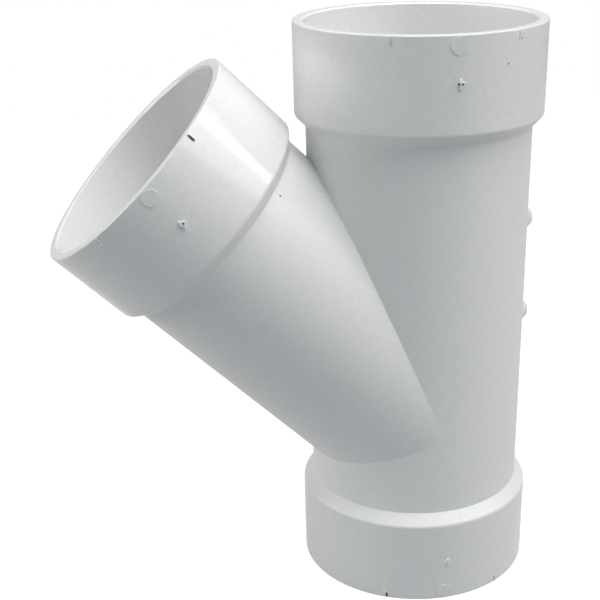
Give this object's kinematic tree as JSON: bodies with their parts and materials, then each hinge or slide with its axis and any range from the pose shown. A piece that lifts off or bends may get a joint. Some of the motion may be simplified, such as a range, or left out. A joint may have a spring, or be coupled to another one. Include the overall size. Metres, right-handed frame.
{
  "type": "drain pipe wye fitting",
  "caption": "White moulded PVC wye fitting: a straight run with a branch leaving it at 45 degrees, and a thicker socket hub with a conical shoulder at each end.",
  "frame": {"origin": "centre of the lower socket's mouth, on the run's axis, where the fitting stands on its lower rim", "axes": "+Z along the run's axis up to the upper socket, the branch leans towards -X, and -Y is the front"},
  "size_m": [0.2513, 0.1254, 0.2974],
  "materials": {
    "pvc": "satin, cool white"
  },
  "bodies": {
    "root": {"wye_fitting": "pvc"}
  },
  "joints": []
}
